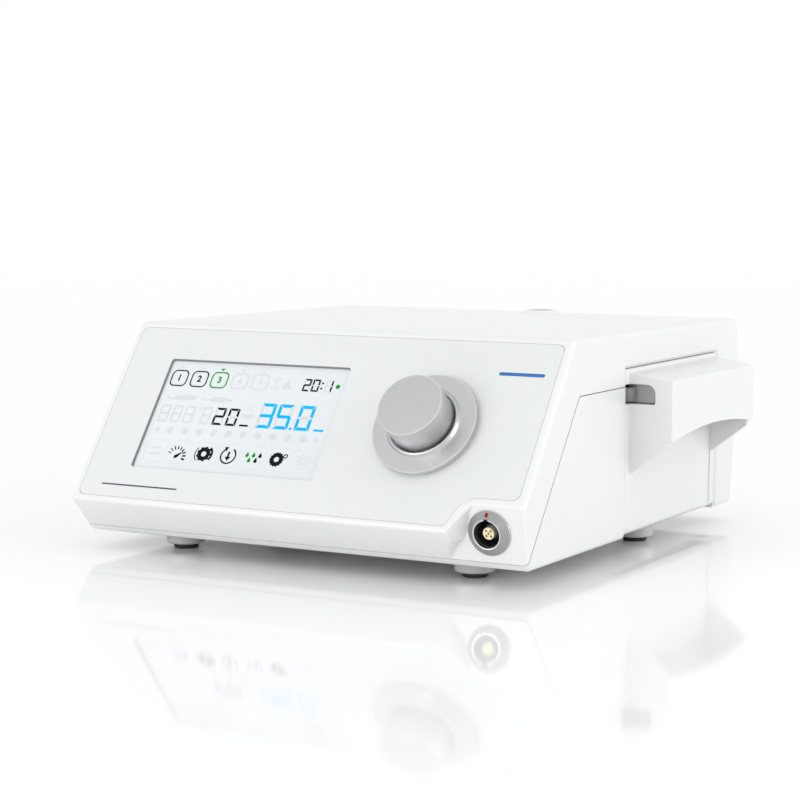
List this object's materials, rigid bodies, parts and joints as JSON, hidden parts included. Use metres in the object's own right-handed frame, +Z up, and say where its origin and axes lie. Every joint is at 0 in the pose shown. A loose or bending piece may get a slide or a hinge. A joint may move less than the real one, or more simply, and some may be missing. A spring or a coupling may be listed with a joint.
{
  "type": "dental motor console",
  "caption": "Bench-top control console of a dental micromotor with a sloping screen front, control knob, motor socket and hinged pump lid.",
  "frame": {"origin": "bottom centre of the whole console, on the surface that it stands on", "axes": "+Z up, -Y towards the user and the sloping front, +X towards the pump lid"},
  "size_m": [0.24, 0.2392, 0.0986],
  "materials": {
    "cover_white": "glossy moulded white plastic",
    "base_white": "glossy moulded white plastic",
    "lid_white": "glossy moulded white plastic",
    "overlay_grey": "satin coated film, pale grey green",
    "lcd": "matt grey screen with printed segments",
    "backlight": "frosted light guide",
    "knob_metal": "bead-blasted and anodised",
    "surround_metal": "satin anodised",
    "socket_metal": "turned and satin chromed",
    "black_plastic": "matt black",
    "insert_ivory": "ivory insulator",
    "contact_gold": "gold-plated",
    "steel": "zinc-plated or ground steel",
    "rubber": "matt black",
    "foot_white": "white plastic",
    "bay_grey": "grey moulded plastic",
    "roller_white": "white acetal",
    "hub_grey": "dark grey plastic",
    "panel_metal": "powder-coated pale grey",
    "pcb": "green solder resist",
    "core_steel": "varnished steel laminations",
    "cap_sleeve": "dark blue sleeve",
    "sink_aluminium": "extruded, black edges",
    "motor_steel": "drawn steel can",
    "bronze": "sintered bronze",
    "cable_grey": "grey flat cable",
    "fuse_glass": "glass with nickel caps"
  },
  "bodies": {
    "root": {"upper_cover": "cover_white", "base_tray": "base_white", "front_overlay": "overlay_grey", "lcd_panel": "lcd", "lcd_backlight": "backlight", "lcd_frame": "steel", "display_pcb": "pcb", "display_screws": "steel", "encoder_body": "steel", "encoder_nut": "steel", "knob_surround": "surround_metal", "motor_socket_ring": "socket_metal", "motor_socket_shell": "black_plastic", "motor_socket_insert": "insert_ivory", "motor_socket_contacts": "contact_gold", "motor_socket_nut": "steel", "lid_hinge_pin": "steel", "pump_bay": "bay_grey", "shaft_bushing": "bronze", "gearbox_housing": "socket_metal", "pump_motor": "motor_steel", "foot_cups": "foot_white", "foot_pads": "rubber", "foot_screws": "steel", "rear_panel": "panel_metal", "panel_screws": "steel", "mains_inlet": "black_plastic", "inlet_pins": "contact_gold", "rocker_frame": "black_plastic", "pedal_socket_ring": "socket_metal", "pedal_socket_insert": "black_plastic", "pole_socket": "socket_metal", "main_pcb": "pcb", "power_supply_pcb": "pcb", "transformer": "core_steel", "capacitors": "cap_sleeve", "heat_sink": "sink_aluminium", "pcb_standoffs": "contact_gold", "pcb_screws": "steel", "case_screws": "steel", "ribbon_cable": "cable_grey"},
    "encoder_wheel": {"encoder_rotor": "black_plastic"},
    "knob": {"knob_cap": "knob_metal", "encoder_shaft": "steel", "knob_set_screw": "steel"},
    "lid": {"pump_lid": "lid_white"},
    "rotor": {"rotor_hub": "hub_grey", "roller_axles": "steel", "rotor_cap_screw": "steel", "pump_shaft": "steel"},
    "roller_1": {"roller_1": "roller_white"},
    "roller_2": {"roller_2": "roller_white"},
    "roller_3": {"roller_3": "roller_white"},
    "roller_4": {"roller_4": "roller_white"},
    "rocker": {"rocker_button": "black_plastic"},
    "drawer": {"fuse_drawer": "black_plastic", "fuses": "fuse_glass"}
  },
  "joints": [
    {"name": "knob_spin", "type": "hinge", "parent": "root", "child": "encoder_wheel", "pos_m": [0.0452, -0.09269, 0.06186], "axis": [0, -0.809, 0.5878], "continuous": true},
    {"name": "knob_press", "type": "slide", "parent": "encoder_wheel", "child": "knob", "axis": [0, 0.809, -0.5878], "range_m": [0, 0.0006], "stiffness_N_per_m": 1500, "springref_m": -0.001},
    {"name": "lid_swing", "type": "hinge", "parent": "root", "child": "lid", "pos_m": [0.0935, 0.0383, 0.015], "axis": [0, 1, 0], "range_deg": [0, 60]},
    {"name": "rotor_spin", "type": "hinge", "parent": "root", "child": "rotor", "pos_m": [0.082, 0.0383, 0.052], "axis": [1, 0, 0], "continuous": true},
    {"name": "roller_1_spin", "type": "hinge", "parent": "rotor", "child": "roller_1", "pos_m": [0.082, 0.04926, 0.06296], "axis": [1, 0, 0], "continuous": true},
    {"name": "roller_2_spin", "type": "hinge", "parent": "rotor", "child": "roller_2", "pos_m": [0.082, 0.02734, 0.06296], "axis": [1, 0, 0], "continuous": true},
    {"name": "roller_3_spin", "type": "hinge", "parent": "rotor", "child": "roller_3", "pos_m": [0.082, 0.02734, 0.04104], "axis": [1, 0, 0], "continuous": true},
    {"name": "roller_4_spin", "type": "hinge", "parent": "rotor", "child": "roller_4", "pos_m": [0.082, 0.04926, 0.04104], "axis": [1, 0, 0], "continuous": true},
    {"name": "rocker_tilt", "type": "hinge", "parent": "root", "child": "rocker", "pos_m": [-0.042, 0.10881, 0.03877], "axis": [1, 0, 0], "range_deg": [0, 20]},
    {"name": "drawer_slide", "type": "slide", "parent": "root", "child": "drawer", "axis": [0, 0.9929, -0.1189], "range_m": [0, 0.012]}
  ]
}
